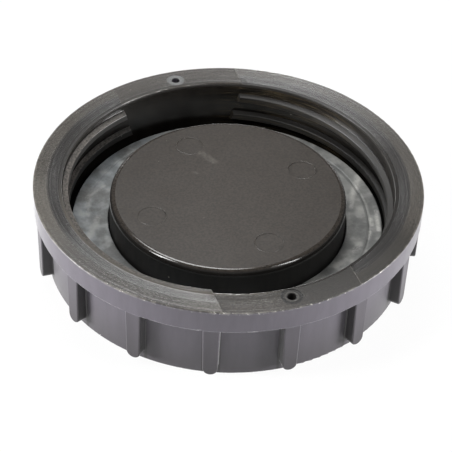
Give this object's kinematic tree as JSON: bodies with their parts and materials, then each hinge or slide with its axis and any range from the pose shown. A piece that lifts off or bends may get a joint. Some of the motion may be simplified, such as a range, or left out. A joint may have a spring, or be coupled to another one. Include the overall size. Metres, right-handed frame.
{
  "type": "oil filler cap",
  "caption": "Round moulded screw cap with grip ribs round its skirt, an interrupted inside thread, a hollow plug in the middle and a flat rubber washer in the groove.",
  "frame": {"origin": "on the cap's axis, in the plane of its closed face, on which it lies", "axes": "+Z along the axis towards the open mouth, Y along the plain strips that interrupt the thread"},
  "size_m": [0.08, 0.08, 0.0185],
  "materials": {
    "body": "satin",
    "washer": "matte"
  },
  "bodies": {
    "root": {"cap_body": "body", "sealing_washer": "washer"}
  },
  "joints": []
}
